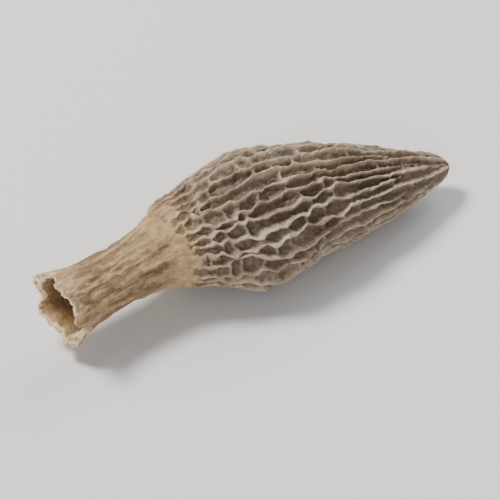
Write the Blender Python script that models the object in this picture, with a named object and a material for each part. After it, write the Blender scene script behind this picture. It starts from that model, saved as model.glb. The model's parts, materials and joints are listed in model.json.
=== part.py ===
"""A dried morel mushroom with its stem cut, lying on its side: one hollow fruit body.

The cap carries long wavy ridges and lower cross ridges round sunken pits. The stem is furrowed and torn at
its cut end, and one hollow runs from that end up into the cap.

Blender 4.5, metres, +Z up. +X runs from the cut end to the tip of the cap. The origin is on the surface that
the mushroom lies on, under the middle of its box.
"""

import math
import random

import bmesh
import bpy
import numpy as np

MM = 0.001

# Outlines, in millimetres: (distance from the cut end, radius).
STEM_OUTLINE = [(0.0, 4.2), (1.2, 3.9), (3.5, 3.45), (7.0, 3.25), (10.5, 3.35), (13.0, 3.75), (14.5, 4.2)]
CAP_OUTLINE = [
    (14.7, 4.4), (15.6, 4.85), (17.4, 5.35), (20.4, 6.25), (23.6, 6.95), (27.0, 6.9), (32.0, 6.05),
    (36.0, 5.15), (40.0, 4.1), (43.5, 3.0), (46.0, 1.95), (47.4, 1.1), (48.0, 0.4),
]
HOLLOW_OUTLINE = [
    (-2.0, 3.2), (0.0, 2.9), (3.5, 2.5), (7.0, 2.42), (10.5, 2.5), (13.5, 2.8), (16.5, 3.35), (20.0, 4.2),
    (24.0, 4.75), (29.0, 4.5), (34.0, 3.65), (40.0, 2.4), (43.5, 1.4), (45.0, 0.6),
]
RIDGE_HEIGHT = [
    (14.7, 0.2), (17.0, 0.55), (20.0, 0.9), (24.0, 1.1), (34.0, 1.0), (40.0, 0.85), (45.0, 0.55), (48.0, 0.2),
]

# The middle line. The stem is straight and level, and the cap bends sideways and down to lie on its side.
CAP_BEND = (12.0, 20.0)
SIDE_SLOPE = -0.2
MIDDLE_HEIGHT = [(-2.0, 6.4), (13.0, 6.4), (23.5, 6.5), (30.0, 5.85), (36.0, 4.85), (42.0, 4.0), (48.0, 3.4)]
MIDDLE_OF_BOX = (24.0456, -2.1802)

# Where the dried mushroom is out of round, as shares of its radius. The belly and the dent are given as
# (place along it, half length, angle, share).
OVAL = 0.03
THREE_SIDED = 0.02
SHRINK_LONG, SHRINK_SHORT = 0.018, 0.012
BELLY = (24.0, 5.0, 0.7, 0.13)
DENT = (31.0, 7.0, 1.9, 0.07)
DENT_WIDTH = 0.22
SHRINK_START = (15.0, 21.0)

# The net of ridges on the cap.
RIDGES = 28
PITS = 13
LANES = 3
ROWS_PER_PIT = 4
FOOT_ACROSS = 0.24
FOOT_ALONG = 0.14
PIT_STRETCH = 0.45
TWIST = 0.7
ZIGZAG = 0.16
ZIGZAG_FADE = (8.0, 11.0)
JOIN_REACH = 0.5
JOIN_PLACES = (1.5, 7.5)
MARGIN_HEIGHT = 0.75
RIM_WAVE_FADE = 2.2
RIM_WAVE_START = 9.0
TIP_ROWS = 8
TIP_BULGE = 0.15
SEED = 21

# The ridges' waves, as (height, pace in radians a pit, which of the seeded phases).
SWINGS = [(0.15, 1.3, 0), (0.07, 2.9, 1), (0.04, 6.1, 5)]
SLIDES = [(0.2, 1.7, 2), (0.1, 3.1, 3)]
CREST_WAVES = [(0.12, 2.3, 4)]
CREST_MIDDLE = 0.88

# The heights of the cross ridges as shares of the ridges', and how both lessen for each pit from the rim.
CROSS_HEIGHTS = (0.62, 0.95)
CROSS_LOSS = 0.025
RAISED_SHARE = 0.95
RAISED_LOSS = 0.035
LOW_CROSS = 0.12
LOW_CREST = 0.1

# Where two ridges run this close together, as shares of a column, the pit between them fills up.
JOINED_WITHIN = (0.3, 0.6)
JOINED_HEIGHT = 0.85

# Where the odd ridges, half of the rest and the cross ridges die out, in pits from the tip.
ODD_RIDGES_END = (3.0, 1.7)
HALF_RIDGES_END = (1.4, 0.5)
CROSS_END = (1.4, 0.4)

# Waves of the cap's rim and the torn edge round the stem, as (height, number in a turn, phase).
RIM_WAVES = [(0.32, 2, 2.2), (0.2, 5, 0.0), (0.1, 11, 1.0)]
TORN_WAVES = [(0.35, 2, 0.4), (0.2, 5, 2.0)]

# The torn cut end, its splits as (angle, depth, width), and the furrows of the stem.
STEM_ROWS = 12
TORN_REACH = 5.0
STANDS_BACK = 0.45
NOTCH_DEPTH = 0.5
SPLITS = [(3.5, 0.9, 0.15), (0.9, 0.7, 0.13)]
FURROW = 0.28
FOLDS, FOLD_SHARE = 7, 0.75
WRINKLES, WRINKLE_SHARE = 12, 0.35
LIP_WAVE = 0.1
LIP_REACH = 4.0
CUT_DEPTH = 0.5
LOBE_ANGLE = 4.3
LOBE_FLARE = 0.14
LOBE_WIDTH = 0.3
RIM_ROUND = 0.3
HOLLOW_ROWS = 20
HOLLOW_SIDES = 24
FLOOR_BLOCK = (80, 40, 10)
SHARP_DEGREES = 50

COLOURS = {
    "cap_pits": (0.075, 0.052, 0.036),
    "cap_ridges": (0.31, 0.24, 0.17),
    "stem_flesh": (0.52, 0.38, 0.22),
    "hollow_lining": (0.30, 0.20, 0.11),
}


def smooth(points, at):
    """Values of the smooth curve through (place, value) points."""
    knots, values = np.array(points, float).T
    slopes = np.gradient(values, knots)
    i = np.clip(np.searchsorted(knots, at) - 1, 0, len(knots) - 2)
    step = knots[i + 1] - knots[i]
    u = np.clip((at - knots[i]) / step, 0.0, 1.0)
    start = (1 + 2 * u) * values[i] + u * step * slopes[i]
    end = (3 - 2 * u) * values[i + 1] - (1 - u) * step * slopes[i + 1]
    return (1 - u) ** 2 * start + u**2 * end


def ramp(value, low, high):
    """0 below low, 1 above high, and smooth between them."""
    u = np.clip((value - low) / (high - low), 0.0, 1.0)
    return u * u * (3 - 2 * u)


def hump(value, middle, width):
    """A smooth hump of height 1 with this half width."""
    return np.exp(-(((value - middle) / width) ** 2))


def near_tip(pits, span):
    """0 before and 1 after a stretch of the cap that is counted in pits back from its tip."""
    start, end = span
    return ramp(pits, PITS - start, PITS - end)


def waves_along(waves, pits, phase):
    """The sum of waves along the cap."""
    return sum(height * np.sin(pace * pits + phase[which]) for height, pace, which in waves)


def waves_round(waves, angle):
    """The sum of waves round the stem."""
    return sum(height * np.sin(count * angle + phase) for height, count, phase in waves)


def middle_line(x):
    """The middle of the mushroom at x, and the two directions across it: sideways and up."""
    low, high = CAP_BEND
    steps = np.linspace(low, x.max() + 1.0, 200)
    slope = SIDE_SLOPE * ramp(steps, low, high)
    side_way = np.concatenate([[0.0], np.cumsum((slope[1:] + slope[:-1]) / 2 * np.diff(steps))])
    y = np.interp(x, steps, side_way)
    z = smooth(MIDDLE_HEIGHT, x)
    dy = SIDE_SLOPE * ramp(x, low, high)
    dz = smooth(MIDDLE_HEIGHT, x + 0.5) - smooth(MIDDLE_HEIGHT, x - 0.5)
    along = np.stack([np.ones_like(x), dy, dz], -1)
    along /= np.linalg.norm(along, axis=-1, keepdims=True)
    side = np.stack([-dy, np.ones_like(x), np.zeros_like(x)], -1)
    side /= np.linalg.norm(side, axis=-1, keepdims=True)
    return np.stack([x, y, z], -1), side, np.cross(along, side)


def section(x, angle):
    """How far the dried section is out of round at x, as a factor on its radius."""
    oval = OVAL * np.cos(2 * angle - 0.5) + THREE_SIDED * np.cos(3 * angle + 1.0 + 0.08 * x)
    middle, length, turn, bulge = BELLY
    belly = bulge * hump(x, middle, length) * np.clip(-np.cos(angle - turn), 0.0, 1.0) ** 2
    middle, length, turn, depth = DENT
    dent = depth * hump(x, middle, length) * hump(np.sin((angle - turn) / 2), 0.0, DENT_WIDTH)
    shrunk = SHRINK_LONG * np.sin(0.5 * x + 2 * angle + 1.0) + SHRINK_SHORT * np.sin(0.9 * x - 3 * angle)
    return 1.0 + oval + belly - dent + shrunk * ramp(x, *SHRINK_START)


def place(x, angle, radius):
    """Points at a distance x along the mushroom, an angle round it and a radius from its middle line."""
    middle, side, up = middle_line(x)
    reach = radius[..., None] * (np.cos(angle)[..., None] * side + np.sin(angle)[..., None] * up)
    return middle + reach - np.array([*MIDDLE_OF_BOX, 0.0])


class RidgeNet:
    """The seeded wander, spacing and height of the cap's ridges.

    Along the cap it counts in pits from the rim.
    """

    def __init__(self):
        rng = random.Random(SEED)
        self.phase = np.array([[rng.uniform(0, 2 * math.pi) for _ in range(RIDGES)] for _ in range(6)])
        heights = [[self.cross_height(rng, pit) for pit in range(PITS + 1)] for _ in range(RIDGES)]
        self.cross = np.array(heights)
        self.join_place = np.array([rng.uniform(*JOIN_PLACES) for _ in range(RIDGES)])
        self.join_side = np.array([rng.choice((-1, 1)) for _ in range(RIDGES)])

    @staticmethod
    def cross_height(rng, pit):
        """The height of one cross ridge as a share of the ridges'. Fewer are raised towards the tip."""
        raised = rng.random() < RAISED_SHARE - RAISED_LOSS * pit
        height = rng.uniform(*CROSS_HEIGHTS) * (1 - CROSS_LOSS * pit)
        return height if raised else LOW_CROSS

    def wander(self, ridge, pits):
        """How far a ridge swings from its even place, in columns.

        Low on the cap it bends towards each cross ridge that meets it, and every fourth ridge runs into a
        neighbour.
        """
        number = ridge % RIDGES
        swing = waves_along(SWINGS, pits, self.phase[:, number]) * ramp(pits, -0.5, 1.0)
        zigzag = ZIGZAG * (self.bend(number, pits) - self.bend((number - 1) % RIDGES, pits))
        swing = swing + zigzag * ramp(pits, 0.0, 1.0) * (1 - ramp(pits, *ZIGZAG_FADE))
        joined = JOIN_REACH * (number % 4 == 1) * hump(pits, self.join_place[number], 1.0)
        return swing * (1 - joined) + joined * self.join_side[number]

    def bend(self, column, pits):
        """How hard the cross ridges of a column pull at the ridges beside it."""
        order = pits - 0.5 * (column % 2)
        nearest = np.clip(np.round(order).astype(int), 0, PITS)
        return self.cross[column, nearest] * np.maximum(np.cos(2 * math.pi * order), 0.0)

    def slide(self, column, pits):
        """How far the cross ridges of a column shift along the cap, in pits."""
        shift = waves_along(SLIDES, pits, self.phase[:, column % RIDGES])
        return shift * ramp(pits, 0.0, 1.0) * (1 - ramp(pits, PITS - 1.0, PITS))

    def crest(self, ridge, pits):
        """The height of a ridge. Every second one dies out near the tip, then every second of the rest."""
        height = CREST_MIDDLE + waves_along(CREST_WAVES, pits, self.phase[:, ridge % RIDGES])
        first = np.where(ridge % 2 == 1, 1 - near_tip(pits, ODD_RIDGES_END), 1.0)
        second = np.where(ridge % 4 == 2, 1 - near_tip(pits, HALF_RIDGES_END), 1.0)
        return np.maximum(height * first * second, LOW_CREST)


def rim_wave(angle):
    """How far the cap's rim reaches up or down the stem at an angle."""
    return waves_round(RIM_WAVES, angle)


def cap_grid(net):
    """Distance, angle, radius and relief of the cap's skin, row by row from its rim to its tip."""
    line = np.arange(RIDGES * LANES)[None, :]
    row = np.arange(PITS * ROWS_PER_PIT + 1)[:, None]
    column, lane = line // LANES, line % LANES
    on_ridge = lane == 0
    even = row / ROWS_PER_PIT
    stagger = (ROWS_PER_PIT // 2) * (column % 2)
    beat = (row - stagger) % ROWS_PER_PIT
    foot = FOOT_ALONG - 1 / ROWS_PER_PIT
    pull = np.choose(beat, [0.0, foot, 0.0, -foot])
    pull = pull * (even > 0) * (even < PITS)
    pits = np.where(on_ridge, even, even + pull)
    lateral = np.choose(lane, [0.0, FOOT_ACROSS, 1 - FOOT_ACROSS])
    left, right = net.wander(column, pits), net.wander(column + 1, pits)
    turn = column + lateral + left * (1 - lateral) + right * lateral + TWIST * np.sin(0.35 * pits + 0.5)
    joined = JOINED_HEIGHT * (1 - ramp(1 + right - left, *JOINED_WITHIN))
    own = net.slide(column, pits)
    shared = (own + net.slide(column - 1, pits)) / 2
    share = (pits + np.where(on_ridge, shared, own)) / PITS
    share = share * (1 - PIT_STRETCH + PIT_STRETCH * share)

    order = (row - stagger) // ROWS_PER_PIT
    cross = net.cross[column, np.clip(order, 0, PITS)] * (1 - near_tip(pits, CROSS_END))
    between = np.maximum(np.where(beat == 0, cross, 0.0), joined)
    relief = np.where(on_ridge, net.crest(column, pits), between)
    relief = np.where(row == 0, np.maximum(relief, MARGIN_HEIGHT), relief)

    knots = np.array(CAP_OUTLINE)
    chord = np.concatenate([[0.0], np.cumsum(np.hypot(*np.diff(knots, axis=0).T))])
    way = share * chord[-1]
    x = smooth(np.column_stack([chord, knots[:, 0]]), way)
    angle = 2 * math.pi / RIDGES * turn
    x = x + rim_wave(angle) * (1 - ramp(pits, 0.0, RIM_WAVE_FADE))
    radius = smooth(np.column_stack([chord, knots[:, 1]]), way) * section(x, angle)
    return x, angle, radius - smooth(RIDGE_HEIGHT, x) * (1 - relief), relief


def torn_edge(angle):
    """How far the torn cut end stands back at an angle, with splits and notches between its lobes."""
    wave = waves_round(TORN_WAVES, angle)
    splits = sum(depth * hump(np.sin((angle - turn) / 2), 0.0, width) for turn, depth, width in SPLITS)
    notches = NOTCH_DEPTH * (1 - np.abs(np.sin(2.5 * angle + 0.8))) ** 2
    return STANDS_BACK + wave + splits + notches


def stem_grid(angle):
    """Distance, angle and radius of the stem's skin, row by row from its cut end up into the cap's rim."""
    top = STEM_OUTLINE[-1][0]
    spread = np.linspace(0.0, 1.0, STEM_ROWS)[:, None] ** 1.15
    x = top * spread
    rim = rim_wave(angle) * ramp(x, RIM_WAVE_START, top)
    x = x + torn_edge(angle) * np.clip(1 - x / TORN_REACH, 0.0, 1.0) + rim
    angle = np.broadcast_to(angle, x.shape)
    lobe = LOBE_FLARE * hump(np.sin((angle - LOBE_ANGLE) / 2), 0.0, LOBE_WIDTH)
    lips = 1 + (LIP_WAVE * np.sin(3 * angle + 1.0) + lobe) * (1 - ramp(x, 0.0, LIP_REACH))
    folds = 0.5 - 0.5 * np.cos(FOLDS * angle + 0.9 * np.sin(0.35 * x) + 0.6)
    wrinkles = 0.5 - 0.5 * np.cos(WRINKLES * angle + 0.25 * x + 2.0)
    depth = FURROW * (0.5 + 0.5 * ramp(x, 1.0, LIP_REACH))
    furrows = (FOLD_SHARE * folds**2 + WRINKLE_SHARE * wrinkles) * depth
    radius = smooth(STEM_OUTLINE, x) * section(x, angle) * lips - furrows
    edge_x, edge_angle, edge_radius = x[:1] + RIM_ROUND, angle[:1], radius[:1] - 2 * RIM_ROUND
    radius[:1] -= RIM_ROUND / 3
    return tuple(np.concatenate(pair) for pair in ((edge_x, x), (edge_angle, angle), (edge_radius, radius)))


def bridge(shape, lower, upper):
    """Faces between two rings of vertices. One of them may have twice as many vertices as the other."""
    faces = []
    count = max(len(lower), len(upper))
    for k in range(count):
        after = (k + 1) % count
        if len(lower) == len(upper):
            faces.append(shape.faces.new((lower[k], lower[after], upper[after], upper[k])))
        elif k % 2 == 0:
            dense, sparse = (lower, upper) if len(lower) > len(upper) else (upper, lower)
            near, far = sparse[k // 2], sparse[(k // 2 + 1) % len(sparse)]
            middle, last = dense[after], dense[(k + 2) % count]
            for corners in ((dense[k], middle, near), (middle, last, far), (near, middle, far)):
                faces.append(shape.faces.new(corners if dense is lower else corners[::-1]))
    return faces


def tube_from_rows(name, rows, first_end, last_end, slots=None):
    """A closed solid: the rows are wrapped into a tube and each end is closed to a point.

    slots gives each row of vertices its material slots, and a face takes the one that most of its
    corners have.
    """
    shape = bmesh.new()
    rings = [[shape.verts.new(point * MM) for point in row] for row in rows]
    for lower, upper in zip(rings, rings[1:]):
        bridge(shape, lower, upper)
    for end, loop in ((first_end, rings[0][::-1]), (last_end, rings[-1])):
        tip = shape.verts.new(end * MM)
        for k in range(len(loop)):
            shape.faces.new((loop[k], loop[(k + 1) % len(loop)], tip))
    if slots is not None:
        shape.verts.ensure_lookup_table()
        ordered = np.concatenate([*slots, slots[0][:1], slots[-1][:1]])
        for face in shape.faces:
            face.material_index = int(np.bincount([ordered[corner.index] for corner in face.verts]).argmax())
    bmesh.ops.recalc_face_normals(shape, faces=shape.faces)
    mesh = bpy.data.meshes.new(name)
    shape.to_mesh(mesh)
    shape.free()
    return bpy.data.objects.new(name, mesh)


def finish_material(name):
    """A matt, dry finish in one of the mushroom's colours."""
    material = bpy.data.materials.new(name)
    material.use_nodes = True
    shader = material.node_tree.nodes["Principled BSDF"]
    shader.inputs["Base Color"].default_value = (*COLOURS[name], 1.0)
    shader.inputs["Roughness"].default_value = 0.85
    shader.inputs["Metallic"].default_value = 0.0
    material.diffuse_color = (*COLOURS[name], 1.0)
    return material


def fruit_body(net):
    """The outside of the mushroom as one closed solid, with its colours by place."""
    pits, ridges, stem = 0, 1, 2
    cap_x, cap_angle, cap_radius, relief = cap_grid(net)
    cap_rows = list(place(cap_x, cap_angle, cap_radius))
    cap_slots = [np.where(row > 0.5, ridges, pits) for row in relief]
    for row in range(len(cap_rows) - TIP_ROWS, len(cap_rows)):
        cap_rows[row] = cap_rows[row][::2]
        cap_slots[row] = cap_slots[row][::2]
    stem_rows = list(place(*stem_grid(cap_angle[:1])))
    stem_slots = [np.full(len(row), stem) for row in stem_rows]
    cut_middle = stem_rows[0].mean(axis=0) + np.array([CUT_DEPTH, 0.0, 0.0])
    tip = cap_rows[-1].mean(axis=0) + np.array([TIP_BULGE, 0.0, 0.0])
    slots = [*stem_slots, *cap_slots]
    body = tube_from_rows("morel_fruit_body", [*stem_rows, *cap_rows], cut_middle, tip, slots)
    for name in COLOURS:
        body.data.materials.append(finish_material(name))
    return body


def hollow_cutter():
    """The hollow from the cut end up into the cap, as a closed solid to cut away."""
    start, end = HOLLOW_OUTLINE[0][0], HOLLOW_OUTLINE[-1][0]
    x = np.linspace(start, end, HOLLOW_ROWS)[:, None]
    angle = np.linspace(0.0, 2 * math.pi, HOLLOW_SIDES, endpoint=False)[None, :]
    x, angle = np.broadcast_arrays(x, angle)
    radius = smooth(HOLLOW_OUTLINE, x) * (1 + 0.5 * (section(x, angle) - 1))
    points = place(x, angle, radius)
    cutter = tube_from_rows("hollow", list(points), points[0].mean(axis=0), points[-1].mean(axis=0))
    cutter.data.materials.append(finish_material("hollow_lining"))
    return cutter


def floor_cutter():
    """A block below the surface that the mushroom lies on, which flattens the ridges that it rests on."""
    length, width, depth = FLOOR_BLOCK
    shape = bmesh.new()
    bmesh.ops.create_cube(shape, size=1.0)
    bmesh.ops.scale(shape, vec=(length * MM, width * MM, depth * MM), verts=shape.verts)
    bmesh.ops.translate(shape, vec=(0.0, 0.0, -depth / 2 * MM), verts=shape.verts)
    mesh = bpy.data.meshes.new("resting_surface")
    shape.to_mesh(mesh)
    shape.free()
    return bpy.data.objects.new("resting_surface", mesh)


def collection_for(name, *objects):
    """A collection in the scene that holds these objects."""
    collection = bpy.data.collections.new(name)
    bpy.context.scene.collection.children.link(collection)
    for item in objects:
        collection.objects.link(item)
    return collection


def cut_away(body, cutter):
    """Cuts a solid from the body and keeps the cutter as a wire helper."""
    cut = body.modifiers.new(cutter.name, "BOOLEAN")
    cut.operation = "DIFFERENCE"
    cut.solver = "EXACT"
    cut.object = cutter
    cutter.hide_render = True
    cutter.display_type = "WIRE"


def main():
    """Builds the mushroom and cuts its hollow and the flat that it rests on."""
    for item in list(bpy.data.objects):
        bpy.data.objects.remove(item, do_unlink=True)
    body = fruit_body(RidgeNet())
    cutters = [hollow_cutter(), floor_cutter()]
    collection_for("dried_morel", body)
    collection_for("cutters", *cutters)
    for cutter in cutters:
        cut_away(body, cutter)
    body.data.shade_smooth()
    body.data.set_sharp_from_angle(angle=math.radians(SHARP_DEGREES))


main()
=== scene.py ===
"""A dried morel mushroom on a pale studio floor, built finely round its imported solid.

The fruit body is one closed skin. It starts at the inner end of the hollow, runs out through the stem to
the torn cut end, turns over the torn edge, and goes back over the stem, the cap's rim and the net of
ridges to the tip. Distances along the mushroom, x, are in millimetres from the cut end, and angles run
round its middle line.
"""

import json
import logging
import math
import random
from dataclasses import dataclass, field
from enum import Enum

import bpy
import numpy as np
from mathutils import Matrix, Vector, noise

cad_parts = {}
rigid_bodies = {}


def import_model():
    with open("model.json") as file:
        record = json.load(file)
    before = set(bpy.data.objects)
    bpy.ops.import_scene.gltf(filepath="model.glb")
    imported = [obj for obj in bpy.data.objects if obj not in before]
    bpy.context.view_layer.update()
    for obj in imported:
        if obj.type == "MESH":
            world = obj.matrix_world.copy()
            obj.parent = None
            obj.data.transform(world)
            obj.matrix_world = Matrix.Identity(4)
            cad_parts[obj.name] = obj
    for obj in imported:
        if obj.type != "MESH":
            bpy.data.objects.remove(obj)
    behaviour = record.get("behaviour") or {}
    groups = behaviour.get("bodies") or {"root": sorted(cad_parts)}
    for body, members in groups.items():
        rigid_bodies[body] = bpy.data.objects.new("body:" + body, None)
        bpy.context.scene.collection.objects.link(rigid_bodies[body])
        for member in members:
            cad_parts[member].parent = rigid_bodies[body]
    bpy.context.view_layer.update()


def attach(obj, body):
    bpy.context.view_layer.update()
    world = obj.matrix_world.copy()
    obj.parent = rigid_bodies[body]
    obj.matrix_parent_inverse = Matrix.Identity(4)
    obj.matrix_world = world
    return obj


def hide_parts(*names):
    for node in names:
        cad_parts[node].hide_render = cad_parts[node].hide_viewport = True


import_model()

MM = 0.001
TURN = 2 * math.pi
QUARTER = math.pi / 2
Array = np.ndarray
Socket = bpy.types.NodeSocket
Span = tuple[float, float]
Colour = tuple[float, float, float]
VALUES = ("relief", "cap", "lining")
LOG = logging.getLogger("dried_morel")


def ramp(value: Array, low: float, high: float) -> Array:
    """Rises smoothly from 0 at low to 1 at high, with level ends."""
    share = np.clip((value - low) / (high - low), 0.0, 1.0)
    return share * share * (3 - 2 * share)


def bell(value: Array, middle: float, width: float) -> Array:
    """A smooth hump of height 1, a third as high at its width from the middle."""
    return np.exp(-(((value - middle) / width) ** 2))


def arch(share: Array) -> Array:
    """Rises from 0 at both ends of a span to 1 in its middle."""
    return 4 * share * (1 - share)


def drawn_out(points: Array, share: float) -> Array:
    """Shortens places lengthways, so that noise read there is drawn out."""
    return points * np.array([share, 1.0, 1.0])


@dataclass(frozen=True)
class Curve:
    """A smooth curve through (place, value) points."""

    points: tuple[tuple[float, float], ...]

    def at(self, place: Array) -> Array:
        """Reads the curve.

        Args:
            place: Where to read it.

        Returns:
            The curve's values there.
        """
        knots, values = np.array(self.points, float).T
        slopes = np.gradient(values, knots)
        i = np.clip(np.searchsorted(knots, place) - 1, 0, len(knots) - 2)
        step = knots[i + 1] - knots[i]
        u = np.clip((place - knots[i]) / step, 0.0, 1.0)
        start = (1 + 2 * u) * values[i] + u * step * slopes[i]
        end = (3 - 2 * u) * values[i + 1] - (1 - u) * step * slopes[i + 1]
        return (1 - u) ** 2 * start + u**2 * end

    def along(self, share: Array) -> tuple[Array, Array]:
        """Walks the curve as an outline in the plane.

        Args:
            share: The share of its length walked, from 0 to 1.

        Returns:
            The place and the value at each share.
        """
        knots = np.array(self.points)
        steps = np.concatenate([[0.0], np.cumsum(np.hypot(*np.diff(knots, axis=0).T))])
        way = share * steps[-1]
        place = Curve(tuple(zip(steps, knots[:, 0]))).at(way)
        value = Curve(tuple(zip(steps, knots[:, 1]))).at(way)
        return place, value


@dataclass(frozen=True)
class Wave:
    """A wave round the mushroom, which may wind along it."""

    height: float
    count: int
    phase: float = 0.0
    winding: float = 0.0

    def at(self, angle: Array, x: Array | float = 0.0) -> Array:
        """Reads the wave at angles round the mushroom and distances along it."""
        return self.height * np.sin(self.count * angle + self.winding * x + self.phase)


@dataclass(frozen=True)
class SideHump:
    """A smooth hump on one side of the section."""

    height: float
    angle: float
    width: float

    def at(self, angle: Array) -> Array:
        """Reads the hump at angles round the mushroom."""
        return self.height * bell(np.sin((angle - self.angle) / 2), 0.0, self.width)


@dataclass(frozen=True)
class Roughness:
    """Uneven growth and shrinkage, read from smooth noise in space."""

    size: float
    octaves: int
    seed: float
    height: float = 1.0

    def at(self, points: Array) -> Array:
        """Reads the noise.

        Args:
            points: Places in millimetres.

        Returns:
            Numbers mostly between -1 and 1, one for each place.
        """
        flat = points.reshape(-1, 3) / self.size + np.array([self.seed, 1.7 * self.seed, -self.seed])
        values = [noise.fractal(Vector(p), 0.9, 2.0, self.octaves) for p in flat]
        return np.array(values).reshape(points.shape[:-1])

    def lift(self, points: Array) -> Array:
        """Reads the noise at its height, in millimetres."""
        return self.height * self.at(points)

    def veins(self, points: Array) -> Array:
        """Reads thin raised lines from the same noise, 1 along their middles."""
        return np.clip(1 - 3.0 * np.abs(self.at(points)), 0.0, 1.0)


@dataclass(frozen=True)
class MiddleLine:
    """The line that the mushroom grew along, with the dried section's uneven roundness."""

    bend: Span = (12.0, 20.0)
    side_slope: float = -0.2
    height: Curve = Curve((
        (-2.0, 6.4), (13.0, 6.4), (23.5, 6.5), (30.0, 5.85), (36.0, 4.85), (42.0, 4.0), (48.0, 3.4),
    ))
    samples: int = 400
    middle_of_box: tuple[float, float] = (24.0456, -2.1802)
    rim_waves: tuple[Wave, ...] = (Wave(0.32, 2, 2.2), Wave(0.2, 5), Wave(0.1, 11, 1.0))
    oval: tuple[Wave, ...] = (Wave(0.03, 2, QUARTER - 0.5), Wave(0.02, 3, QUARTER + 1.0, 0.08))
    shrunk: tuple[Wave, ...] = (Wave(0.018, 2, 1.0, 0.5), Wave(0.012, -3, 0.0, 0.9))
    shrunk_from: Span = (15.0, 21.0)
    belly: float = 0.13
    belly_reach: Span = (24.0, 5.0)
    belly_angle: float = 0.7
    dent: SideHump = SideHump(0.07, 1.9, 0.22)
    dent_reach: Span = (31.0, 7.0)

    def rim_wave(self, angle: Array) -> Array:
        """How far the cap's rim reaches down or up the stem, in millimetres."""
        return sum(wave.at(angle) for wave in self.rim_waves)

    def section(self, x: Array, angle: Array) -> Array:
        """How far the section is out of round.

        Args:
            x: Distances along the mushroom.
            angle: Angles round it.

        Returns:
            The factor on the radius there.
        """
        oval = sum(wave.at(angle, x) for wave in self.oval)
        facing = np.clip(-np.cos(angle - self.belly_angle), 0.0, 1.0)
        belly = self.belly * bell(x, *self.belly_reach) * facing**2
        dent = self.dent.at(angle) * bell(x, *self.dent_reach)
        shrunk = sum(wave.at(angle, x) for wave in self.shrunk)
        return 1.0 + oval + belly - dent + shrunk * ramp(x, *self.shrunk_from)

    def place(self, x: Array, angle: Array, radius: Array) -> Array:
        """Places points round the middle line.

        Args:
            x: Distances along the mushroom.
            angle: Angles round it, from the side up.
            radius: Distances from the middle line.

        Returns:
            Points in millimetres in the part's frame.
        """
        low, high = self.bend
        steps = np.linspace(low, max(x.max(), high) + 1.0, self.samples)
        slope = self.side_slope * ramp(steps, low, high)
        sideways = np.concatenate([[0.0], np.cumsum((slope[1:] + slope[:-1]) / 2 * np.diff(steps))])
        dy = self.side_slope * ramp(x, low, high)
        dz = self.height.at(x + 0.5) - self.height.at(x - 0.5)
        along = np.stack([np.ones_like(x), dy, dz], -1)
        along /= np.linalg.norm(along, axis=-1, keepdims=True)
        side = np.stack([-dy, np.ones_like(x), np.zeros_like(x)], -1)
        side /= np.linalg.norm(side, axis=-1, keepdims=True)
        up = np.cross(along, side)
        middle = np.stack([x, np.interp(x, steps, sideways), self.height.at(x)], -1)
        reach = radius[..., None] * (np.cos(angle)[..., None] * side + np.sin(angle)[..., None] * up)
        return middle + reach - np.array([*self.middle_of_box, 0.0])


@dataclass(frozen=True)
class RidgeWave:
    """A wave along the cap that takes one of the net's seeded phases."""

    height: float
    pace: float
    which: int

    def at(self, pits: Array, phases: Array) -> Array:
        """Reads the wave, with the phases of each ridge or column."""
        return self.height * np.sin(self.pace * pits + phases[self.which])


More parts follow.
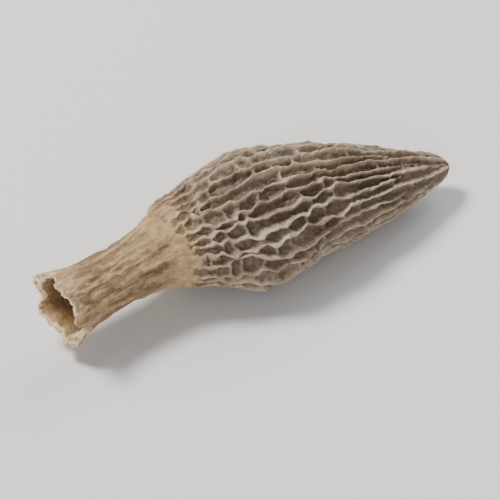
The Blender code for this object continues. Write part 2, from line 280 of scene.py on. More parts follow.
@dataclass
class RidgeNet:
    """The seeded wander, spacing and height of the cap's ridges.

    Round the cap it counts in columns between ridges, and along it in pits from the rim.
    """

    ridge_count: int = 28
    pit_count: int = 13
    phase_count: int = 6
    seed: int = 21
    stretch: float = 0.45
    twist: float = 0.7
    swings: tuple[RidgeWave, ...] = (
        RidgeWave(0.15, 1.3, 0), RidgeWave(0.07, 2.9, 1), RidgeWave(0.04, 6.1, 5),
    )
    slides: tuple[RidgeWave, ...] = (RidgeWave(0.2, 1.7, 2), RidgeWave(0.1, 3.1, 3))
    zigzag: float = 0.16
    zigzag_fade: Span = (8.0, 11.0)
    join_reach: float = 0.5
    join_places: Span = (1.5, 7.5)
    cross_heights: Span = (0.62, 0.95)
    cross_loss: float = 0.025
    raised_share: float = 0.95
    raised_loss: float = 0.035
    low_cross: float = 0.12
    slants: Span = (-0.3, 0.3)
    bows: Span = (-0.5, 0.5)
    veins: Span = (-0.6, 1.0)
    depths: Span = (-0.12, 0.12)
    lean_reach: float = 0.12
    crest_middle: float = 0.88
    crest_wave: RidgeWave = RidgeWave(0.12, 2.3, 4)
    low_crest: float = 0.1
    odd_ridges_end: Span = (3.0, 1.7)
    half_ridges_end: Span = (1.4, 0.5)

    def __post_init__(self) -> None:
        """Draws the seeded numbers of every ridge, cross ridge and pit."""
        rng = random.Random(self.seed)
        ridges, pits = range(self.ridge_count), range(self.pit_count + 1)
        self.phase = np.array([[rng.uniform(0, TURN) for _ in ridges] for _ in range(self.phase_count)])
        self.cross = np.array([[self.cross_height(rng, pit) for pit in pits] for _ in ridges])
        self.join_place = np.array([rng.uniform(*self.join_places) for _ in ridges])
        self.join_side = np.array([rng.choice((-1, 1)) for _ in ridges])
        self.slant = self.drawn(rng, self.slants)
        self.bow = self.drawn(rng, self.bows)
        self.vein = self.drawn(rng, self.veins)
        self.depth = self.drawn(rng, self.depths)

    def drawn(self, rng: random.Random, span: Span) -> Array:
        """Draws a number for each pit, by column and pit."""
        pits = range(self.pit_count + 1)
        return np.array([[rng.uniform(*span) for _ in pits] for _ in range(self.ridge_count)])

    def cross_height(self, rng: random.Random, pit: int) -> float:
        """Draws the height of one cross ridge. Fewer are raised towards the tip.

        Args:
            rng: The seeded source of draws.
            pit: How many pits lie between it and the rim.

        Returns:
            Its height as a share of the ridges'.
        """
        raised = rng.random() < self.raised_share - self.raised_loss * pit
        height = rng.uniform(*self.cross_heights) * (1 - self.cross_loss * pit)
        return height if raised else self.low_cross

    def near_tip(self, pits: Array, span: Span) -> Array:
        """Rises from 0 to 1 over a span counted back from the tip, in pits."""
        start, end = span
        return ramp(pits, self.pit_count - start, self.pit_count - end)

    @staticmethod
    def order(column: Array, pits: Array) -> Array:
        """Counts a column's own pits, which lie half a pit further up in every second column."""
        return pits - 0.5 * (column % 2)

    def wander(self, ridge: Array, pits: Array) -> Array:
        """How far a ridge swings from its even place.

        Low on the cap it bends towards each cross ridge that meets it, and every fourth ridge runs into a
        neighbour.

        Args:
            ridge: Numbers of the ridges.
            pits: Pits from the rim.

        Returns:
            The swing, in columns.
        """
        number = ridge % self.ridge_count
        swing = sum(wave.at(pits, self.phase[:, number]) for wave in self.swings) * ramp(pits, -0.5, 1.0)
        zigzag = self.zigzag * (self.pull(number, pits) - self.pull((number - 1) % self.ridge_count, pits))
        swing = swing + zigzag * ramp(pits, 0.0, 1.0) * (1 - ramp(pits, *self.zigzag_fade))
        joined = self.join_reach * (number % 4 == 1) * bell(pits, self.join_place[number], 1.0)
        return swing * (1 - joined) + joined * self.join_side[number]

    def pull(self, column: Array, pits: Array) -> Array:
        """How hard the cross ridges of a column pull at the ridges beside it.

        Args:
            column: Numbers of the columns between ridges.
            pits: Pits from the rim.

        Returns:
            The pull, as a share of the zigzag's swing.
        """
        order = self.order(column, pits)
        nearest = np.clip(np.round(order).astype(int), 0, self.pit_count)
        return self.cross[column, nearest] * np.maximum(np.cos(TURN * order), 0.0)

    def slide(self, column: Array, pits: Array) -> Array:
        """How far the cross ridges of a column shift along the cap.

        Args:
            column: Numbers of the columns between ridges.
            pits: Pits from the rim.

        Returns:
            The shift, in pits.
        """
        phases = self.phase[:, column % self.ridge_count]
        shift = sum(wave.at(pits, phases) for wave in self.slides)
        return shift * ramp(pits, 0.0, 1.0) * (1 - self.near_tip(pits, (1.0, 0.0)))

    def lean(self, ridge: Array, pits: Array) -> Array:
        """How far the crest of a ridge leans over its foot, in columns."""
        return self.lean_reach * np.sin(0.9 * pits + 2 * self.phase[1, ridge % self.ridge_count])

    def crest(self, ridge: Array, pits: Array) -> Array:
        """The height of a ridge. Every second one dies out near the tip, then every second of the rest.

        Args:
            ridge: Numbers of the ridges.
            pits: Pits from the rim.

        Returns:
            The height as a share of the full one.
        """
        height = self.crest_middle + self.crest_wave.at(pits, self.phase[:, ridge % self.ridge_count])
        first = np.where(ridge % 2 == 1, 1 - self.near_tip(pits, self.odd_ridges_end), 1.0)
        second = np.where(ridge % 4 == 2, 1 - self.near_tip(pits, self.half_ridges_end), 1.0)
        return np.maximum(height * first * second, self.low_crest)


@dataclass
class Skin:
    """Rows of surface points in millimetres, with what the finish reads there.

    The relief runs from 0 in a pit to 1 on a crest and the cap's share from 0 on the stem to 1 on the cap.
    The lining is 1 inside the hollow, where the finish paints shade.
    """

    points: list[Array] = field(default_factory=list)
    relief: list[Array] = field(default_factory=list)
    cap: list[Array] = field(default_factory=list)
    lining: list[Array] = field(default_factory=list)

    def add(self, points: Array, relief: Array, cap: Array, lining: Array, step: int = 1) -> None:
        """Adds rows of points, of which every step-th point is kept."""
        for name, rows in zip(("points", *VALUES), (points, relief, cap, lining)):
            getattr(self, name).extend(row[::step] for row in rows)

    def extend(self, other: "Skin") -> None:
        """Adds the rows of another skin."""
        for name in ("points", *VALUES):
            getattr(self, name).extend(getattr(other, name))


@dataclass
class CapSkin:
    """The cap's skin from its rim to its tip, with its net of thin ridges round sunken pits.

    Each point lies in a column between two ridges, and at one of a few lanes across it.
    """

    line: MiddleLine
    net: RidgeNet
    outline: Curve = Curve((
        (14.7, 4.4), (15.6, 4.85), (17.4, 5.35), (20.4, 6.25), (23.6, 6.95), (27.0, 6.9), (32.0, 6.05),
        (36.0, 5.15), (40.0, 4.1), (43.5, 3.0), (46.0, 1.95), (47.4, 1.1), (48.0, 0.4),
    ))
    ridge_height: Curve = Curve((
        (14.7, 0.2), (17.0, 0.55), (20.0, 0.9), (24.0, 1.1), (34.0, 1.1), (40.0, 1.05), (45.0, 0.8),
        (48.0, 0.3),
    ))
    lanes: tuple[float, ...] = (0.0, 0.05, 0.1, 0.16, 0.25, 0.37, 0.5, 0.63, 0.75, 0.84, 0.9, 0.95)
    rows_per_pit: int = 16
    rim_wave_fade: float = 2.2
    shared_slide: float = 0.22
    crest_width: float = 0.21
    crest_share: float = 0.17
    cross_width: float = 0.19
    cross_sag: float = 0.2
    cross_end: Span = (1.4, 0.4)
    young_cross: float = 0.45
    young_pits: float = 2.5
    rib_width: float = 0.2
    rib_height: float = 0.42
    rib_swing: float = 0.12
    knot_height: float = 0.12
    pit_floor: float = 0.04
    bowl_depth: float = 0.06
    margin_relief: float = 0.7
    margin_width: float = 0.9
    relief_limits: Span = (-0.1, 1.04)
    crumple: Roughness = Roughness(1.9, 2, 3.0, 0.10)
    grain: Roughness = Roughness(0.8, 2, 8.0, 0.09)
    worn: Roughness = Roughness(0.6, 3, 51.0, 0.1)
    floor_veins: Roughness = Roughness(0.5, 2, 5.0, 0.2)
    sways: tuple[Roughness, ...] = (Roughness(1.3, 2, 12.0, 0.15), Roughness(0.55, 2, 16.0, 0.07))
    pleats: Roughness = Roughness(0.42, 2, 29.0, 0.14)
    smooth_tip: Span = (45.5, 47.8)
    sway_radius: float = 1.5
    vein_tone: float = 1.2
    colour_change: Span = (14.6, 18.4)
    colour_crumple: float = 1.2
    colour_grain: float = 0.6

    def rim_angles(self) -> Array:
        """The angles of the first row, for the stem's rows to follow."""
        _, angle, _, _ = self.grid()
        return angle[0]

    def grid(self) -> tuple[Array, Array, Array, Array]:
        """Lays the net of ridges over the cap's outline.

        Returns:
            Distance along, angle, radius and relief, row by row.
        """
        net, lane_count = self.net, len(self.lanes)
        index = np.arange(net.ridge_count * lane_count)[None, :]
        column = index // lane_count
        lateral = np.array(self.lanes)[index % lane_count]
        pits = np.arange(net.pit_count * self.rows_per_pit + 1)[:, None] / self.rows_per_pit
        pits, lateral = np.broadcast_arrays(pits, lateral)
        column = np.broadcast_to(column, pits.shape)

        left, right = net.wander(column, pits), net.wander(column + 1, pits)
        turn = column + lateral + left * (1 - lateral) + right * lateral
        turn = turn + net.twist * np.sin(0.35 * pits + 0.5)
        share = (pits + self.slide(column, lateral, pits)) / net.pit_count
        share = share * (1 - net.stretch + net.stretch * share)
        x, crest_radius = self.outline.along(share)
        width = TURN / net.ridge_count
        angle = width * turn
        x = x + self.line.rim_wave(angle) * (1 - ramp(pits, 0.0, self.rim_wave_fade))

        across = width * crest_radius * (1 + right - left)
        lengthways = np.gradient(x, axis=0) * self.rows_per_pit
        relief = self.relief(column, lateral, pits, across, lengthways)
        lean = net.lean(column, pits) * (1 - lateral) + net.lean(column + 1, pits) * lateral
        angle = angle + width * lean * relief
        radius = crest_radius * self.line.section(x, angle) - self.ridge_height.at(x) * (1 - relief)
        return x, angle, radius, relief

    def slide(self, column: Array, lateral: Array, pits: Array) -> Array:
        """How far the net shifts along the cap. Columns agree with each other at the ridge between them.

        Args:
            column: The column that each point lies in.
            lateral: How far across it lies, from 0 to 1.
            pits: Pits from the rim.

        Returns:
            The shift, in pits.
        """
        own = self.net.slide(column, pits)
        before = (own + self.net.slide(column - 1, pits)) / 2
        after = (own + self.net.slide(column + 1, pits)) / 2
        at_left = 1 - ramp(lateral, 0.0, self.shared_slide)
        at_right = ramp(lateral, 1 - self.shared_slide, 1.0)
        return own * (1 - at_left - at_right) + before * at_left + after * at_right

    def ridges(self, column: Array, lateral: Array, pits: Array, across: Array) -> Array:
        """The height of the long ridges on both sides of a column.

        Args:
            column: The column that each point lies in.
            lateral: How far across it lies, from 0 to 1.
            pits: Pits from the rim.
            across: The column's width, in millimetres.

        Returns:
            Heights, from 0 to 1 on a full crest.
        """
        net = self.net
        spacing = across.mean(axis=1, keepdims=True) * (1 + net.near_tip(pits, net.odd_ridges_end))
        spacing = spacing * (1 + net.near_tip(pits, net.half_ridges_end))
        thin = np.minimum(self.crest_width, self.crest_share * spacing)
        from_left, from_right = lateral * across / thin, (1 - lateral) * across / thin
        left = net.crest(column, pits) / (1 + from_left**4)
        right = net.crest(column + 1, pits) / (1 + from_right**4)
        return np.maximum(left, right)

    def crosses(self, column: Array, lateral: Array, pits: Array, lengthways: Array) -> Array:
        """The height of the cross ridges that close the pits.

        Args:
            column: The column that each point lies in.
            lateral: How far across it lies, from 0 to 1.
            pits: Pits from the rim.
            lengthways: A pit's length, in millimetres.

        Returns:
            Heights, from 0 to 1 on a full crest.
        """
        net = self.net
        order, ring = net.order(column, pits), column % net.ridge_count
        fade = 1 - net.near_tip(pits, self.cross_end)
        sag = 1 - self.cross_sag * arch(lateral)
        heights = np.zeros_like(pits)
        for shift in (-1, 0, 1):
            k = np.clip(np.round(order).astype(int) + shift, 0, net.pit_count)
            middle = k + net.slant[ring, k] * (lateral - 0.5) + net.bow[ring, k] * lateral * (1 - lateral)
            away = np.abs(order - middle) * lengthways / self.cross_width
            young = self.young_cross + (1 - self.young_cross) * ramp(k, 0.0, self.young_pits)
            heights = np.maximum(heights, net.cross[ring, k] * young * sag * fade / (1 + away**3))
        return heights

    def relief(self, column: Array, lateral: Array, pits: Array, across: Array, lengthways: Array) -> Array:
        """The height of ridges, cross ridges and pit floors.

        Args:
            column: The column that each point lies in.
            lateral: How far across it lies, from 0 to 1.
            pits: Pits from the rim.
            across: The column's width, in millimetres.
            lengthways: A pit's length, in millimetres.

        Returns:
            Heights, from 0 on a pit's floor to 1 on a full crest.
        """
        net = self.net
        ridges = self.ridges(column, lateral, pits, across)
        crosses = self.crosses(column, lateral, pits, lengthways)
        order, ring = net.order(column, pits), column % net.ridge_count
        pit = np.clip(np.floor(order).astype(int), 0, net.pit_count)
        swell = np.sin(math.pi * np.clip(order - pit, 0.0, 1.0))
        rib_line = 0.5 + self.rib_swing * np.sin(5 * pits + column)
        off_rib = np.abs(lateral - rib_line) * across / self.rib_width
        rib = np.clip(net.vein[ring, pit], 0.0, 1.0) * self.rib_height * swell**0.5 / (1 + off_rib**3)
        bowl = (self.bowl_depth + net.depth[ring, pit] * 0.5) * swell**2 * arch(lateral)
        both = np.maximum(ridges, crosses) + self.knot_height * np.minimum(ridges, crosses)
        relief = np.maximum(both, rib) + self.pit_floor - bowl
        uneven = 0.5 * net.depth[ring, pit] / net.depths[1]
        margin = 1 - ramp(pits + uneven, 0.0, self.margin_width)
        relief = relief * (1 - margin) + np.maximum(relief, self.margin_relief) * margin
        return np.clip(relief, *self.relief_limits)

    def build(self, skin: Skin) -> None:
        """Adds the cap's rows to the skin.

        Args:
            skin: The rows so far.
        """
        x, angle, radius, relief = self.grid()
        points = self.line.place(x, angle, radius)
        wall = ramp(relief, 0.05, 0.35) * (1 - ramp(relief, 0.75, 1.0))
        crumple, grain = self.crumple.at(points), self.grain.at(points)
        swell = self.crumple.height * crumple * ramp(relief, -0.1, 0.5) + self.grain.height * grain
        worn = self.worn.lift(points) * ramp(relief, 0.6, 0.95)
        veins = self.floor_veins.height * self.floor_veins.veins(points) * (1 - ramp(relief, 0.3, 0.8))
        ease = 1 - ramp(x, *self.smooth_tip)
        crests = self.line.place(x, angle, radius + self.ridge_height.at(x) * (1 - relief))
        sway = sum(roughness.lift(crests) for roughness in self.sways) + self.pleats.lift(crests) * wall
        angle = angle + sway / np.maximum(radius, self.sway_radius) * ease
        radius = radius + (swell + veins + worn) * ease
        points = self.line.place(x, angle, radius)
        points[..., 2] = np.maximum(points[..., 2], 0.0)
        crumple, grain = self.crumple.at(points), self.grain.at(points)
        cap = ramp(x + self.colour_crumple * crumple + self.colour_grain * grain, *self.colour_change)
        # Raised veins on the pit floors lift the relief that the finish colours by, so they stand lighter in
        # the painted pit shade, and the rest of the floor a little darker.
        relief = relief + (veins - 0.1) * (1 - ramp(relief, 0.2, 0.6)) * self.vein_tone
        lining = np.zeros_like(relief)
        half = len(points) - 2 * self.rows_per_pit
        quarter = len(points) - self.rows_per_pit // 2
        for rows, step in ((slice(0, half), 1), (slice(half, quarter), 2), (slice(quarter, None), 4)):
            skin.add(points[rows], relief[rows], cap[rows], lining[rows], step)


@dataclass
class StemSkin:
    """The stem's furrowed skin from the torn cut end up to the cap's rim."""

    line: MiddleLine
    outline: Curve = Curve((
        (0.0, 4.2), (1.2, 3.9), (3.5, 3.45), (7.0, 3.25), (10.5, 3.35), (13.0, 3.75), (14.5, 4.2),
    ))
    rows: int = 92
    crowding: float = 1.15
    rim_wave_start: float = 9.0
    torn_reach: float = 5.0
    stands_back: float = 0.5
    torn_waves: tuple[Wave, ...] = (Wave(0.35, 2, 0.4), Wave(0.2, 5, 2.0))
    splits: tuple[SideHump, ...] = (SideHump(0.9, 3.5, 0.15), SideHump(0.7, 0.9, 0.13))
    frays: tuple[Roughness, ...] = (Roughness(1.5, 3, 71.0, 0.28), Roughness(0.5, 2, 73.0, 0.16))
    notch_depth: float = 0.5
    lobe: SideHump = SideHump(0.14, 4.3, 0.3)
    lips: Wave = Wave(0.1, 3, 1.0)
    lip_reach: float = 4.0
    curl: Wave = Wave(0.06, 4, 0.3)
    curl_reach: float = 0.9
    furrow: float = 0.28
    fold_count: int = 7
    fold_share: float = 0.75
    wrinkles: Wave = Wave(0.5, 12, 2.0 - QUARTER, 0.25)
    wrinkle_share: float = 0.35
    smooth_collar: Span = (11.5, 14.5)
    folds: Roughness = Roughness(0.9, 3, 21.0)
    fine: Roughness = Roughness(0.4, 3, 33.0)
    fold_height: float = 0.13
    fold_line: float = 0.12
    fine_height: float = 0.06
    fine_line: float = 0.07
    pale_end: float = 0.3
    pale_reach: Span = (0.4, 2.6)
    under_cap: Span = (10.0, 14.5)
    collar_relief: float = 0.8

    def torn_edge(self, angle: Array) -> Array:
        """How far the torn cut end stands back, with splits and notches between its lobes.

        Args:
            angle: Angles round the stem.

        Returns:
            Distances from the mushroom's end.
        """
        wave = sum(part.at(angle) for part in self.torn_waves)
        splits = sum(split.at(angle) for split in self.splits)
        _, radius = self.outline.points[0]
        around = radius * np.stack([np.cos(angle), np.sin(angle), np.zeros_like(angle)], -1)
        frayed = sum(fray.lift(around) for fray in self.frays)
        notches = self.notch_depth * (1 - np.abs(np.sin(2.5 * angle + 0.8))) ** 2
        return self.stands_back + wave + splits + frayed + notches

    def grid(self, angle: Array) -> tuple[Array, Array, Array]:
        """Lays the stem's rows.

        Args:
            angle: Angles round the stem, the same for each row.

        Returns:
            Distance along, angle and radius, row by row from the cut end.
        """
        top = self.outline.points[-1][0]
        x = top * np.linspace(0.0, 1.0, self.rows)[:, None] ** self.crowding
        rim = self.line.rim_wave(angle) * ramp(x, self.rim_wave_start, top)
        x = x + self.torn_edge(angle) * np.clip(1 - x / self.torn_reach, 0.0, 1.0) + rim
        angle = np.broadcast_to(angle, x.shape)
        curl = bell(x, 0.0, self.curl_reach) * self.curl.at(angle)
        lips = (self.lips.at(angle) + self.lobe.at(angle)) * (1 - ramp(x, 0.0, self.lip_reach))
        folds = 0.5 - 0.5 * np.cos(self.fold_count * angle + 0.9 * np.sin(0.35 * x) + 0.6)
        wrinkles = 0.5 + self.wrinkles.at(angle, x)
        depth = (0.5 + 0.5 * ramp(x, 1.0, self.lip_reach)) * (1 - 0.75 * ramp(x, *self.smooth_collar))
        furrows = self.furrow * (self.fold_share * folds**2 + self.wrinkle_share * wrinkles) * depth
        radius = self.outline.at(x) * self.line.section(x, angle) * (1 + lips + curl) - furrows
        return x, angle, radius

    def build(self, skin: Skin, angle: Array) -> Array:
        """Adds the stem's rows to the skin.

        Args:
            skin: The rows so far.
            angle: The angles of the cap's first row.

        Returns:
            The points of the first row, for the torn edge to start from.
        """
        x, angle, radius = self.grid(angle[None, :])
        points = self.line.place(x, angle, radius)
        pulled = drawn_out(points, 0.14)
        ease = 1 - 0.6 * ramp(x, 13.4, 14.5)
        relief = self.folds.at(pulled) + 0.5 * self.fine.at(drawn_out(points, 0.2))
        swell = self.fold_height * relief - self.fold_line * self.folds.veins(pulled + 5.0)
        swell = swell + self.fine_height * self.fine.at(drawn_out(points, 0.4))
        swell = swell - self.fine_line * self.fine.veins(drawn_out(points, 0.12))
        points = self.line.place(x, angle, radius + swell * ease)
        zero = np.zeros_like(x)
        pale_end = self.pale_end * (1 - ramp(x, *self.pale_reach))
        under_cap = ramp(x, *self.under_cap)
        height = (0.5 + 0.5 * relief + pale_end) * (1 - under_cap) + self.collar_relief * under_cap
        skin.add(points, height, zero, zero)
        return points[0]


@dataclass
class HollowSkin:
    """The lining of the hollow, from deep in the cap out to the torn cut end."""

    line: MiddleLine
    stem: StemSkin
    outline: Curve = Curve((
        (-2.0, 3.7), (0.0, 3.4), (2.5, 2.75), (6.0, 2.42), (10.5, 2.5), (13.5, 2.8), (16.5, 3.35),
        (20.0, 4.2), (24.0, 4.75), (29.0, 4.5), (34.0, 3.65), (40.0, 2.4), (43.5, 1.4), (45.0, 0.6),
    ))
    rows: int = 64
    crowding: float = 1.35
    set_back: float = 0.25
    folds: Roughness = Roughness(1.5, 3, 41.0, 0.26)
    fine: Roughness = Roughness(0.5, 2, 47.0, 0.07)
    pleat_count: int = 5
    pleat_depth: float = 0.05

    def build(self, skin: Skin, angle: Array) -> Array:
        """Adds the lining's rows to the skin, from the inside out.

        Args:
            skin: The rows so far.
            angle: Angles round the stem, the same for each row.

        Returns:
            The points of the last row, at the torn cut end.
        """
        end = self.outline.points[-1][0]
        x = end * np.linspace(1.0, 0.0, self.rows)[:, None] ** self.crowding
        torn = self.stem.torn_edge(angle[None, :]) + self.set_back
        x = x + torn * np.clip(1 - x / self.stem.torn_reach, 0.0, 1.0)
        angle = np.broadcast_to(angle[None, :], x.shape)
        radius = self.outline.at(x) * (1 + 0.5 * (self.line.section(x, angle) - 1))
        points = self.line.place(x, angle, radius)
        ease = ramp(radius, 0.3, 1.5)
        folds = self.folds.lift(drawn_out(points, 0.25)) + self.fine.lift(points)
        pleats = self.pleat_depth * np.cos(self.pleat_count * angle + 0.3 * np.sin(0.4 * x))
        points = self.line.place(x, angle, radius * (1 - pleats) + folds * ease)
        one = np.ones_like(x)
        # The lining value rises from the cut end into the hollow; the finish paints shade there.
        skin.add(points, 0.5 * one, 0.0 * one, one * ramp(x, 0.2, 2.2))
        return points[-1]


@dataclass
class TornEdge:
    """The ragged thickness of the wall where the stem was cut."""

    rows: int = 10
    bulge: float = 0.16
    ragged: tuple[Roughness, ...] = (Roughness(0.7, 3, 55.0, 0.24), Roughness(0.3, 2, 61.0, 0.16))
    relief: float = 1.15
    relief_swing: float = 2.4

    def build(self, skin: Skin, inner: Array, outer: Array) -> None:
        """Adds the rows that turn over the edge from the lining to the outer skin.

        Args:
            skin: The rows so far.
            inner: The lining's last row.
            outer: The stem's first row.
        """
        share = (np.arange(1, self.rows) / self.rows)[:, None, None]
        points = inner * (1 - share) + outer * share
        round_over = np.sin(math.pi * share[..., 0]) ** 0.7
        ragged = sum(roughness.lift(points) for roughness in self.ragged)
        points[..., 0] -= (self.bulge + ragged) * round_over
        relief = self.relief + self.relief_swing * ragged
        zero = np.zeros_like(relief)
        skin.add(points, relief, zero, zero)


@dataclass(frozen=True)
class Speckle:
    """Noise in a finish: its bumps in a metre, its finer levels and how it is stretched."""

    scale: float
    detail: float
    stretch: tuple[float, float, float] = (1.0, 1.0, 1.0)


class NodeKit:
    """A new material, with short ways to add its nodes."""

    def __init__(self, name: str) -> None:
        """Makes the material.

        Args:
            name: Its name.
        """
        self.material = bpy.data.materials.new(name)
        self.material.use_nodes = True
        self.tree = self.material.node_tree
        self.shader = self.tree.nodes["Principled BSDF"]
        self.place = self.node("TexCoord").outputs["Object"]

    def node(self, kind: str) -> bpy.types.Node:
        """Adds a node of a kind."""
        return self.tree.nodes.new(f"ShaderNode{kind}")

    def socket(self, target: Socket, value: object) -> None:
        """Sets an input to a number or colour, or links it.

        Args:
            target: The input.
            value: A socket, a number or a colour.
        """
        if isinstance(value, Socket):
            self.tree.links.new(value, target)
        elif isinstance(value, tuple):
            target.default_value = (*value, 1.0)
        else:
            target.default_value = value

    def dress(self, name: str, value: object) -> None:
        """Sets or links one of the shader's inputs."""
        self.socket(self.shader.inputs[name], value)

    def attribute(self, name: str) -> Socket:
        """Reads one of the skin's values.

        Args:
            name: The value's name.

        Returns:
            The socket that carries it.
        """
        node = self.node("Attribute")
        node.attribute_name = name
        return node.outputs["Fac"]

    def noise(self, speckle: Speckle) -> Socket:
        """Adds noise in the mushroom's own space.

        Args:
            speckle: The noise's size, detail and stretch.

        Returns:
            The noise, from 0 to 1.
        """
        mapping = self.node("Mapping")
        mapping.inputs["Scale"].default_value = speckle.stretch
        node = self.node("TexNoise")
        node.inputs["Scale"].default_value = speckle.scale
        node.inputs["Detail"].default_value = speckle.detail
        self.socket(mapping.inputs["Vector"], self.place)
        self.socket(node.inputs["Vector"], mapping.outputs["Vector"])
        return node.outputs["Fac"]

    def math(self, operation: str, *values: object) -> Socket:
        """Adds a sum on sockets and numbers.

        Args:
            operation: The kind of sum.
            values: Its inputs.

        Returns:
            The result.
        """
        node = self.node("Math")
        node.operation = operation
        for target, value in zip(node.inputs, values):
            self.socket(target, value)
        return node.outputs["Value"]

    def centred(self, value: Socket, swing: float) -> Socket:
        """Turns noise from 0 to 1 into a swing about nothing."""
        return self.math("MULTIPLY_ADD", value, swing, -swing / 2)

    def sum(self, *values: Socket) -> Socket:
        """Adds sockets up.

        Args:
            values: The sockets.

        Returns:
            Their sum.
        """
        total = values[0]
        for value in values[1:]:
            total = self.math("ADD", total, value)
        return total

    def ramp(self, value: Socket, low: float, high: float) -> Socket:
        """Spreads a range to 0 and 1 with soft ends.

        Args:
            value: What is spread.
            low: What becomes 0.
            high: What becomes 1.

        Returns:
            The spread value.
        """
        node = self.node("MapRange")
        node.interpolation_type = "SMOOTHSTEP"
        self.socket(node.inputs["Value"], value)
        node.inputs["From Min"].default_value = low
        node.inputs["From Max"].default_value = high
        return node.outputs["Result"]

    def brighten(self, colour: Socket, factor: Socket) -> Socket:
        """Makes a colour lighter or darker.

        Args:
            colour: The colour.
            factor: What its value is multiplied by.

        Returns:
            The changed colour.
        """
        node = self.node("HueSaturation")
        self.socket(node.inputs["Color"], colour)
        self.socket(node.inputs["Value"], factor)
        return node.outputs["Color"]

    def mix(self, share: object, first: object, second: object) -> Socket:
        """Mixes two colours.

        Args:
            share: How much of the second.
            first: A colour or socket.
            second: A colour or socket.

        Returns:
            The mixed colour.
        """
        node = self.node("Mix")
        node.data_type = "RGBA"
        colours = [s for s in node.inputs if s.type == "RGBA"]
        self.socket(node.inputs["Factor"], share)
        self.socket(colours[0], first)
        self.socket(colours[1], second)
        return next(s for s in node.outputs if s.type == "RGBA")


@dataclass(frozen=True)
class FleshFinish:
    """Dry, matt flesh: pits partly darker of their own and partly in painted shade, pale grey ridges, a tan
    stem and a lining painted dark as shade.
    """

    pit_deep: Colour = (0.145, 0.098, 0.065)
    pit_light: Colour = (0.27, 0.198, 0.135)
    crest_warm: Colour = (0.37, 0.276, 0.184)
    crest_grey: Colour = (0.475, 0.382, 0.275)
    stem_light: Colour = (0.45, 0.30, 0.155)
    stem_dark: Colour = (0.22, 0.14, 0.07)
    torn_light: Colour = (0.80, 0.60, 0.38)
    lining: Colour = (0.21, 0.115, 0.045)
    lining_shade: float = 0.55
    patch: Speckle = Speckle(90.0, 3.0)
    mottle: Speckle = Speckle(220.0, 4.0)
    fibres: Speckle = Speckle(900.0, 4.0, (0.12, 1.0, 1.0))
    speck: Speckle = Speckle(1500.0, 5.0)
    grain: Speckle = Speckle(3200.0, 3.0)
    roughness: float = 0.82
    roughness_swing: float = 0.16
    shine: float = 0.25
    bloom: float = 0.12
    bloom_roughness: float = 0.5
    bump_strength: float = 0.8
    bump_height: float = 0.00034

    def build(self) -> bpy.types.Material:
        """Makes the material.

        Returns:
            A material that reads the skin's relief, cap and lining values.
        """
        kit = NodeKit("dried_flesh")
        relief, cap, lining = (kit.attribute(name) for name in VALUES)
        names = ("patch", "mottle", "fibres", "speck", "grain")
        patch, mottle, fibres, speck, grain = (kit.noise(getattr(self, name)) for name in names)

        # The cap runs from the pit colours on the pit floors to the crest colours on the crests by relief
        # height: partly the flesh's own darker pits, partly painted shade in the recesses.
        height = kit.sum(relief, kit.centred(speck, swing=0.55), kit.centred(mottle, swing=0.25))
        blotch = kit.sum(patch, kit.centred(mottle, swing=0.6), kit.centred(speck, swing=0.5))
        pits = kit.mix(kit.ramp(blotch, low=0.3, high=0.7), self.pit_deep, self.pit_light)
        crests = kit.mix(kit.ramp(mottle, low=0.4, high=0.6), self.crest_warm, self.crest_grey)
        cap_colour_and_pit_shade = kit.mix(kit.ramp(height, low=0.22, high=0.95), pits, crests)

        uneven = kit.sum(kit.centred(fibres, swing=1.1), kit.centred(patch, swing=0.8))
        stem_height = kit.sum(relief, uneven, kit.centred(speck, swing=0.4))
        stem_colour = kit.mix(kit.ramp(stem_height, low=0.25, high=0.75), self.stem_dark, self.stem_light)
        stem_colour = kit.mix(kit.ramp(stem_height, low=0.85, high=1.3), stem_colour, self.torn_light)
        # The lining is painted dark brown as shade inside the hollow, with darker random patches in it.
        deep = tuple(self.lining_shade * c for c in self.lining)
        inside = kit.mix(kit.ramp(mottle, low=0.3, high=0.7), deep, self.lining)

        colour = kit.mix(lining, kit.mix(cap, stem_colour, cap_colour_and_pit_shade), inside)
        tone = kit.sum(kit.centred(speck, swing=0.7), kit.centred(grain, swing=0.6))
        kit.dress("Base Color", kit.brighten(colour, kit.math("ADD", tone, 1.0)))
        least = self.roughness - self.roughness_swing / 2
        kit.dress("Roughness", kit.math("MULTIPLY_ADD", speck, self.roughness_swing, least))
        kit.dress("Specular IOR Level", self.shine)
        kit.dress("Sheen Weight", self.bloom)
        kit.dress("Sheen Roughness", self.bloom_roughness)

        grit = kit.sum(
            kit.centred(speck, swing=1.0), kit.centred(fibres, swing=0.6), kit.centred(grain, swing=0.5)
        )
        bump = kit.node("Bump")
        kit.socket(bump.inputs["Strength"], self.bump_strength)
        kit.socket(bump.inputs["Distance"], self.bump_height)
        kit.socket(bump.inputs["Height"], grit)
        kit.dress("Normal", bump.outputs["Normal"])
        return kit.material


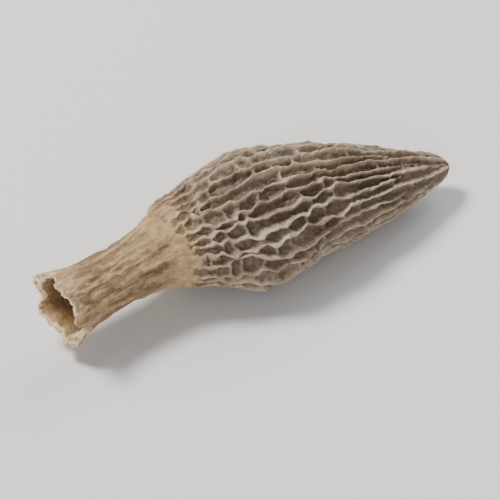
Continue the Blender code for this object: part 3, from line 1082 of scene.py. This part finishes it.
@dataclass
class FruitBody:
    """The whole mushroom: hollow, torn edge, stem and cap as one closed skin."""

    line: MiddleLine = MiddleLine()
    finish: FleshFinish = FleshFinish()
    tip_bulge: float = 0.15

    def skin(self) -> Skin:
        """Lays all the rows of the skin.

        Returns:
            The rows from the inner end of the hollow to the tip.
        """
        cap = CapSkin(self.line, RidgeNet())
        stem = StemSkin(self.line)
        angle = cap.rim_angles()[::2]
        skin, edge, outer = Skin(), Skin(), Skin()
        inner_row = HollowSkin(self.line, stem).build(skin, angle)
        outer_row = stem.build(outer, angle)
        TornEdge().build(edge, inner_row, outer_row)
        skin.extend(edge)
        skin.extend(outer)
        cap.build(skin)
        return skin

    @staticmethod
    def faces(rings: list[Array]) -> list[tuple[int, ...]]:
        """Joins rings of points into faces and closes both ends to a point.

        A ring may have half or twice the points of the one before. The two end points are numbered after
        all the others.

        Args:
            rings: The numbers of the points in each ring.

        Returns:
            The faces, as point numbers.
        """
        faces: list[tuple[int, ...]] = []
        for lower, upper in zip(rings, rings[1:]):
            if len(lower) == len(upper):
                after_lower, after_upper = np.roll(lower, -1), np.roll(upper, -1)
                faces.extend(zip(lower.tolist(), after_lower.tolist(), after_upper.tolist(), upper.tolist()))
                continue
            dense, sparse = (lower, upper) if len(lower) > len(upper) else (upper, lower)
            first, middle, last = dense[::2], dense[1::2], np.roll(dense[::2], -1)
            far = np.roll(sparse, -1)
            for corners in ((first, middle, sparse), (middle, last, far), (sparse, middle, far)):
                order = corners if dense is lower else corners[::-1]
                faces.extend(zip(*(corner.tolist() for corner in order)))
        inner_end = int(rings[-1][-1]) + 1
        outer_end = inner_end + 1
        faces.extend((int(b), int(a), inner_end) for a, b in zip(rings[0], np.roll(rings[0], -1)))
        faces.extend((int(a), int(b), outer_end) for a, b in zip(rings[-1], np.roll(rings[-1], -1)))
        return faces

    def mesh(self) -> bpy.types.Mesh:
        """Makes the closed mesh and gives it the values that the finish reads.

        Returns:
            The mesh, in metres.
        """
        skin = self.skin()
        starts = np.concatenate([[0], np.cumsum([len(row) for row in skin.points])])
        rings = [np.arange(a, b) for a, b in zip(starts, starts[1:])]
        tip = skin.points[-1].mean(axis=0) + np.array([self.tip_bulge, 0.0, 0.0])
        points = np.concatenate([*skin.points, [skin.points[0].mean(axis=0), tip]])
        mesh = bpy.data.meshes.new("morel_body")
        mesh.from_pydata((points * MM).tolist(), [], self.faces(rings))
        mesh.update()
        for name in VALUES:
            rows = getattr(skin, name)
            values = np.concatenate([*rows, rows[0][:1], rows[-1][:1]])
            mesh.attributes.new(name, "FLOAT", "POINT").data.foreach_set("value", values.astype(np.float32))
        mesh.shade_smooth()
        return mesh

    def build(self) -> bpy.types.Object:
        """Builds and dresses the fruit body.

        Returns:
            The finished piece.
        """
        mesh = self.mesh()
        piece = bpy.data.objects.new("morel_body", mesh)
        bpy.context.scene.collection.objects.link(piece)
        mesh.materials.append(self.finish.build())
        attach(piece, "root")
        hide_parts("morel_fruit_body")
        LOG.info("fruit body: %d points, %d faces", len(mesh.vertices), len(mesh.polygons))
        return piece


class LightRole(Enum):
    """What each studio light is for."""

    KEY = "key"
    FILL = "fill"
    BACK = "back"


@dataclass(frozen=True)
class StudioLight:
    """A soft square light that points at the mushroom."""

    role: LightRole
    place: tuple[float, float, float]
    size: float
    watts: float
    colour: Colour = (1.0, 1.0, 1.0)

    def build(self, target: Vector) -> None:
        """Adds the light.

        Args:
            target: Where it points.
        """
        data = bpy.data.lights.new(f"{self.role.value}_light", "AREA")
        data.size = self.size
        data.energy = self.watts
        data.color = self.colour
        lamp = bpy.data.objects.new(data.name, data)
        lamp.location = self.place
        lamp.rotation_euler = (target - lamp.location).to_track_quat("-Z", "Y").to_euler()
        bpy.context.scene.collection.objects.link(lamp)


@dataclass(frozen=True)
class FloorFinish:
    """A plain, matt floor with a faint unevenness of tone."""

    colour: Colour = (0.80, 0.79, 0.77)
    shade: float = 0.985
    cloud: Speckle = Speckle(9.0, 2.0)
    roughness: float = 0.9

    def build(self) -> bpy.types.Material:
        """Makes the material.

        Returns:
            A plain matt material.
        """
        kit = NodeKit("pale_floor")
        darker = tuple(self.shade * c for c in self.colour)
        kit.dress("Base Color", kit.mix(kit.noise(self.cloud), darker, self.colour))
        kit.dress("Roughness", self.roughness)
        return kit.material


@dataclass(frozen=True)
class Studio:
    """A plain pale floor, soft lights and the camera at the photographed angle."""

    target: tuple[float, float, float] = (-0.0011, -0.0014, 0.0038)
    azimuth: float = -38.0
    elevation: float = 46.0
    distance: float = 0.42
    lens: float = 285.0
    near_clip: float = 0.001
    floor_reach: float = 1.2
    floor_drop: float = -0.00002
    floor_finish: FloorFinish = FloorFinish()
    world_colour: Colour = (0.90, 0.93, 1.0)
    world_strength: float = 0.38
    lights: tuple[StudioLight, ...] = (
        StudioLight(LightRole.KEY, (-0.20, 0.32, 0.64), 0.20, 7.0, (1.0, 0.97, 0.93)),
        StudioLight(LightRole.FILL, (-0.60, -0.50, 0.36), 0.60, 2.4),
        StudioLight(LightRole.BACK, (0.50, 0.20, 0.40), 0.40, 2.0),
    )

    def floor(self) -> None:
        """Adds the floor just under the mushroom."""
        reach, drop = self.floor_reach, self.floor_drop
        mesh = bpy.data.meshes.new("floor")
        corners = [(-reach, -reach, drop), (reach, -reach, drop), (reach, reach, drop), (-reach, reach, drop)]
        mesh.from_pydata(corners, [], [(0, 1, 2, 3)])
        floor = bpy.data.objects.new("floor", mesh)
        bpy.context.scene.collection.objects.link(floor)
        mesh.materials.append(self.floor_finish.build())

    def camera(self) -> None:
        """Adds the camera and makes it the scene's."""
        data = bpy.data.cameras.new("camera")
        data.lens = self.lens
        data.clip_start = self.near_clip
        camera = bpy.data.objects.new("camera", data)
        turn, rise = math.radians(self.azimuth), math.radians(self.elevation)
        way = Vector((math.sin(turn) * math.cos(rise), -math.cos(turn) * math.cos(rise), math.sin(rise)))
        camera.location = Vector(self.target) + way * self.distance
        camera.rotation_euler = (-way).to_track_quat("-Z", "Y").to_euler()
        bpy.context.scene.collection.objects.link(camera)
        bpy.context.scene.camera = camera

    def world(self) -> None:
        """Sets the even light from all round."""
        world = bpy.data.worlds.new("studio")
        world.use_nodes = True
        background = world.node_tree.nodes["Background"]
        background.inputs["Color"].default_value = (*self.world_colour, 1.0)
        background.inputs["Strength"].default_value = self.world_strength
        bpy.context.scene.world = world

    def build(self) -> None:
        """Adds the whole studio."""
        self.floor()
        self.world()
        self.camera()
        for light in self.lights:
            light.build(Vector(self.target))
        LOG.info("studio: floor, camera and %d lights", len(self.lights))


def main() -> None:
    """Builds the studio and the mushroom."""
    logging.basicConfig(level=logging.INFO)
    Studio().build()
    FruitBody().build()


if __name__ == "__main__":
    main()
